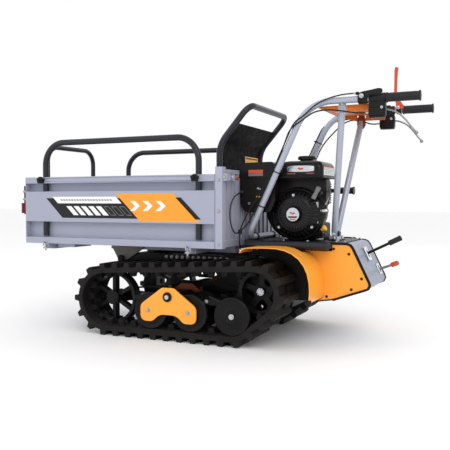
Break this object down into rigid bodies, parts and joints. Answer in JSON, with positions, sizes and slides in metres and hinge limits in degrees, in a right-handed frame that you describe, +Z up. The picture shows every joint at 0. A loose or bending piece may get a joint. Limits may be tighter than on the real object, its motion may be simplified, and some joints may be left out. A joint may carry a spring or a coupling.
{
  "type": "power wheelbarrow",
  "caption": "Tracked power barrow: walk-behind crawler carrier with an engine deck, tube handlebar with control levers, and a tipping dump bed with sliding side panels and hoop rails.",
  "frame": {"origin": "bottom centre of the bounding box: on the ground, mid length and mid width", "axes": "+X forward to the dump bed, +Y to the machine's left, +Z up"},
  "size_m": [1.6944, 0.756, 1.1123],
  "materials": {
    "track_rubber": "matte, dusty",
    "bed_paint": "semi-gloss light blue-grey powder coat",
    "orange_paint": "gloss orange powder coat",
    "black_paint": "satin black powder coat",
    "graphite_paint": "satin graphite powder coat",
    "silver_paint": "semi-gloss silver paint on steel tube",
    "cover_paint": "semi-gloss light grey",
    "engine_black": "gloss black",
    "gear_case": "cast, satin",
    "engine_metal": "cast, satin black and bare metal",
    "zinc_steel": "zinc plated",
    "cap_black": "matte",
    "grip_rubber": "matte ribbed",
    "trim_rubber": "matte edge trim",
    "cable_sheath": "satin black sheath",
    "red_paint": "semi-gloss red-orange"
  },
  "bodies": {
    "root": {"chassis_frame": "graphite_paint", "left_track": "track_rubber", "right_track": "track_rubber", "left_fender": "orange_paint", "right_fender": "orange_paint", "gearbox": "gear_case", "engine_deck": "black_paint", "cover_skin": "cover_paint", "cover_trim": "trim_rubber", "engine_block": "engine_metal", "recoil_housing": "engine_black", "fuel_tank": "engine_black", "air_box": "cap_black", "handlebar_frame": "silver_paint", "console_panel": "orange_paint", "grips": "grip_rubber", "lever_mounts": "cap_black", "cables": "cable_sheath"},
    "bed": {"bed_floor": "bed_paint", "bed_headboard": "bed_paint", "bed_guard": "black_paint", "lift_handle": "black_paint"},
    "front_panel": {"front_panel": "bed_paint"},
    "front_hoop": {"front_hoop": "graphite_paint"},
    "gear_lever": {"gear_lever": "black_paint"},
    "range_lever": {"range_lever": "zinc_steel"},
    "recoil_grip": {"recoil_grip": "cap_black"},
    "fuel_cap": {"fuel_cap": "cap_black"},
    "left_steer_lever": {"left_steer_lever": "zinc_steel"},
    "right_steer_lever": {"right_steer_lever": "zinc_steel"},
    "clutch_lever": {"clutch_lever": "red_paint"},
    "throttle_lever": {"throttle_lever": "zinc_steel"},
    "left_panel": {"left_panel": "bed_paint"},
    "left_hoop": {"left_hoop": "graphite_paint"},
    "left_front_knob": {"left_front_knob": "cap_black"},
    "left_rear_knob": {"left_rear_knob": "cap_black"},
    "left_front_pin": {"left_front_pin": "zinc_steel"},
    "left_rear_pin": {"left_rear_pin": "zinc_steel"},
    "left_rear_latch": {"left_rear_latch": "zinc_steel"},
    "left_front_latch": {"left_front_latch": "red_paint"},
    "left_sprocket": {"left_sprocket": "zinc_steel"},
    "left_idler": {"left_idler": "black_paint"},
    "left_rear_roller": {"left_rear_roller": "black_paint"},
    "left_bogie": {"left_bogie": "orange_paint"},
    "left_bogie_roller_front": {"left_bogie_roller_front": "black_paint"},
    "left_bogie_roller_rear": {"left_bogie_roller_rear": "black_paint"},
    "right_panel": {"right_panel": "bed_paint"},
    "right_hoop": {"right_hoop": "graphite_paint"},
    "right_front_knob": {"right_front_knob": "cap_black"},
    "right_rear_knob": {"right_rear_knob": "cap_black"},
    "right_front_pin": {"right_front_pin": "zinc_steel"},
    "right_rear_pin": {"right_rear_pin": "zinc_steel"},
    "right_rear_latch": {"right_rear_latch": "zinc_steel"},
    "right_front_latch": {"right_front_latch": "red_paint"},
    "right_sprocket": {"right_sprocket": "zinc_steel"},
    "right_idler": {"right_idler": "black_paint"},
    "right_rear_roller": {"right_rear_roller": "black_paint"},
    "right_bogie": {"right_bogie": "orange_paint"},
    "right_bogie_roller_front": {"right_bogie_roller_front": "black_paint"},
    "right_bogie_roller_rear": {"right_bogie_roller_rear": "black_paint"}
  },
  "joints": [
    {"name": "bed_tip", "type": "hinge", "parent": "root", "child": "bed", "pos_m": [0.43975, 0, 0.30333], "axis": [0, 1, 0], "range_deg": [0, 50]},
    {"name": "front_panel_slide", "type": "slide", "parent": "bed", "child": "front_panel", "axis": [1, 0, 0], "range_m": [0, 0.15]},
    {"name": "front_hoop_lift", "type": "slide", "parent": "front_panel", "child": "front_hoop", "axis": [0, 0, 1], "range_m": [0, 0.22]},
    {"name": "left_panel_slide", "type": "slide", "parent": "bed", "child": "left_panel", "axis": [0, 1, 0], "range_m": [0, 0.2]},
    {"name": "left_hoop_lift", "type": "slide", "parent": "left_panel", "child": "left_hoop", "axis": [0, 0, 1], "range_m": [0, 0.22]},
    {"name": "left_front_knob_turn", "type": "hinge", "parent": "left_panel", "child": "left_front_knob", "pos_m": [0.71375, 0.345, 0.64833], "axis": [0, 1, 0], "range_deg": [-180, 180]},
    {"name": "left_rear_knob_turn", "type": "hinge", "parent": "left_panel", "child": "left_rear_knob", "pos_m": [-0.03425, 0.345, 0.64833], "axis": [0, 1, 0], "range_deg": [-180, 180]},
    {"name": "left_front_pin_pull", "type": "slide", "parent": "left_panel", "child": "left_front_pin", "axis": [0, 0, 1], "range_m": [0, 0.03]},
    {"name": "left_rear_pin_pull", "type": "slide", "parent": "left_panel", "child": "left_rear_pin", "axis": [0, 0, 1], "range_m": [0, 0.03]},
    {"name": "left_rear_latch_pull", "type": "slide", "parent": "bed", "child": "left_rear_latch", "axis": [0, -1, 0], "range_m": [0, 0.02], "stiffness_N_per_m": 400, "springref_m": -0.01},
    {"name": "left_front_latch_lift", "type": "slide", "parent": "left_panel", "child": "left_front_latch", "axis": [0, 0, 1], "range_m": [0, 0.014]},
    {"name": "left_sprocket_turn", "type": "hinge", "parent": "root", "child": "left_sprocket", "pos_m": [-0.26825, 0.26, 0.20833], "axis": [0, 1, 0], "continuous": true, "deforming": ["left_track"]},
    {"name": "left_idler_turn", "type": "hinge", "parent": "root", "child": "left_idler", "pos_m": [0.3975, 0.26, 0.15033], "axis": [0, 1, 0], "continuous": true, "deforming": ["left_track"]},
    {"name": "left_rear_roller_turn", "type": "hinge", "parent": "root", "child": "left_rear_roller", "pos_m": [-0.17525, 0.26, 0.11533], "axis": [0, 1, 0], "continuous": true, "deforming": ["left_track"]},
    {"name": "left_bogie_swing", "type": "hinge", "parent": "root", "child": "left_bogie", "pos_m": [0.09675, 0.26, 0.17733], "axis": [0, 1, 0], "range_deg": [-7, 7], "deforming": ["left_track"]},
    {"name": "left_bogie_front_turn", "type": "hinge", "parent": "left_bogie", "child": "left_bogie_roller_front", "pos_m": [0.18675, 0.26, 0.11533], "axis": [0, 1, 0], "continuous": true, "deforming": ["left_track"]},
    {"name": "left_bogie_rear_turn", "type": "hinge", "parent": "left_bogie", "child": "left_bogie_roller_rear", "pos_m": [0.00675, 0.26, 0.11533], "axis": [0, 1, 0], "continuous": true, "deforming": ["left_track"]},
    {"name": "right_panel_slide", "type": "slide", "parent": "bed", "child": "right_panel", "axis": [0, -1, 0], "range_m": [0, 0.2]},
    {"name": "right_hoop_lift", "type": "slide", "parent": "right_panel", "child": "right_hoop", "axis": [0, 0, 1], "range_m": [0, 0.22]},
    {"name": "right_front_knob_turn", "type": "hinge", "parent": "right_panel", "child": "right_front_knob", "pos_m": [0.71375, -0.345, 0.64833], "axis": [0, -1, 0], "range_deg": [-180, 180]},
    {"name": "right_rear_knob_turn", "type": "hinge", "parent": "right_panel", "child": "right_rear_knob", "pos_m": [-0.03425, -0.345, 0.64833], "axis": [0, -1, 0], "range_deg": [-180, 180]},
    {"name": "right_front_pin_pull", "type": "slide", "parent": "right_panel", "child": "right_front_pin", "axis": [0, 0, 1], "range_m": [0, 0.03]},
    {"name": "right_rear_pin_pull", "type": "slide", "parent": "right_panel", "child": "right_rear_pin", "axis": [0, 0, 1], "range_m": [0, 0.03]},
    {"name": "right_rear_latch_pull", "type": "slide", "parent": "bed", "child": "right_rear_latch", "axis": [0, 1, 0], "range_m": [0, 0.02], "stiffness_N_per_m": 400, "springref_m": -0.01},
    {"name": "right_front_latch_lift", "type": "slide", "parent": "right_panel", "child": "right_front_latch", "axis": [0, 0, 1], "range_m": [0, 0.014]},
    {"name": "right_sprocket_turn", "type": "hinge", "parent": "root", "child": "right_sprocket", "pos_m": [-0.26825, -0.26, 0.20833], "axis": [0, 1, 0], "continuous": true, "deforming": ["right_track"]},
    {"name": "right_idler_turn", "type": "hinge", "parent": "root", "child": "right_idler", "pos_m": [0.3975, -0.26, 0.15033], "axis": [0, 1, 0], "continuous": true, "deforming": ["right_track"]},
    {"name": "right_rear_roller_turn", "type": "hinge", "parent": "root", "child": "right_rear_roller", "pos_m": [-0.17525, -0.26, 0.11533], "axis": [0, 1, 0], "continuous": true, "deforming": ["right_track"]},
    {"name": "right_bogie_swing", "type": "hinge", "parent": "root", "child": "right_bogie", "pos_m": [0.09675, -0.26, 0.17733], "axis": [0, 1, 0], "range_deg": [-7, 7], "deforming": ["right_track"]},
    {"name": "right_bogie_front_turn", "type": "hinge", "parent": "right_bogie", "child": "right_bogie_roller_front", "pos_m": [0.18675, -0.26, 0.11533], "axis": [0, 1, 0], "continuous": true, "deforming": ["right_track"]},
    {"name": "right_bogie_rear_turn", "type": "hinge", "parent": "right_bogie", "child": "right_bogie_roller_rear", "pos_m": [0.00675, -0.26, 0.11533], "axis": [0, 1, 0], "continuous": true, "deforming": ["right_track"]},
    {"name": "gear_lever_swing", "type": "hinge", "parent": "root", "child": "gear_lever", "pos_m": [-0.57625, -0.006, 0.32533], "axis": [0, 1, 0], "range_deg": [-9, 9]},
    {"name": "range_lever_swing", "type": "hinge", "parent": "root", "child": "range_lever", "pos_m": [-0.60625, -0.096, 0.26233], "axis": [0, 1, 0], "range_deg": [-9, 9]},
    {"name": "recoil_pull", "type": "slide", "parent": "root", "child": "recoil_grip", "axis": [0, 1, 0], "range_m": [0, 0.06], "stiffness_N_per_m": 60, "springref_m": -0.02},
    {"name": "fuel_cap_turn", "type": "hinge", "parent": "root", "child": "fuel_cap", "pos_m": [-0.38725, 0.06, 0.73033], "axis": [0, 0, 1], "range_deg": [0, 120]},
    {"name": "left_steer_squeeze", "type": "hinge", "parent": "root", "child": "left_steer_lever", "pos_m": [-0.70225, 0.18, 0.89433], "axis": [0, 1, 0], "range_deg": [0, 15], "stiffness_Nm_per_rad": 1.2, "springref_deg": -8.59},
    {"name": "right_steer_squeeze", "type": "hinge", "parent": "root", "child": "right_steer_lever", "pos_m": [-0.67125, -0.18, 0.89433], "axis": [0, 1, 0], "range_deg": [0, 15], "stiffness_Nm_per_rad": 1.2, "springref_deg": -8.59},
    {"name": "clutch_lever_fold", "type": "hinge", "parent": "root", "child": "clutch_lever", "pos_m": [-0.71025, -0.157, 0.94433], "axis": [0, -1, 0], "range_deg": [0, 70]},
    {"name": "throttle_turn", "type": "hinge", "parent": "root", "child": "throttle_lever", "pos_m": [-0.63925, 0.203, 0.94433], "axis": [0, 1, 0], "range_deg": [0, 30]}
  ],
  "couplings": [
    {"joint": "left_idler_turn", "follows": "left_sprocket_turn", "ratio": 0.79577},
    {"joint": "left_rear_roller_turn", "follows": "left_sprocket_turn", "ratio": 1.1235},
    {"joint": "left_bogie_front_turn", "follows": "left_sprocket_turn", "ratio": 1.1235},
    {"joint": "left_bogie_rear_turn", "follows": "left_sprocket_turn", "ratio": 1.1235},
    {"joint": "right_idler_turn", "follows": "right_sprocket_turn", "ratio": 0.79577},
    {"joint": "right_rear_roller_turn", "follows": "right_sprocket_turn", "ratio": 1.1235},
    {"joint": "right_bogie_front_turn", "follows": "right_sprocket_turn", "ratio": 1.1235},
    {"joint": "right_bogie_rear_turn", "follows": "right_sprocket_turn", "ratio": 1.1235}
  ]
}
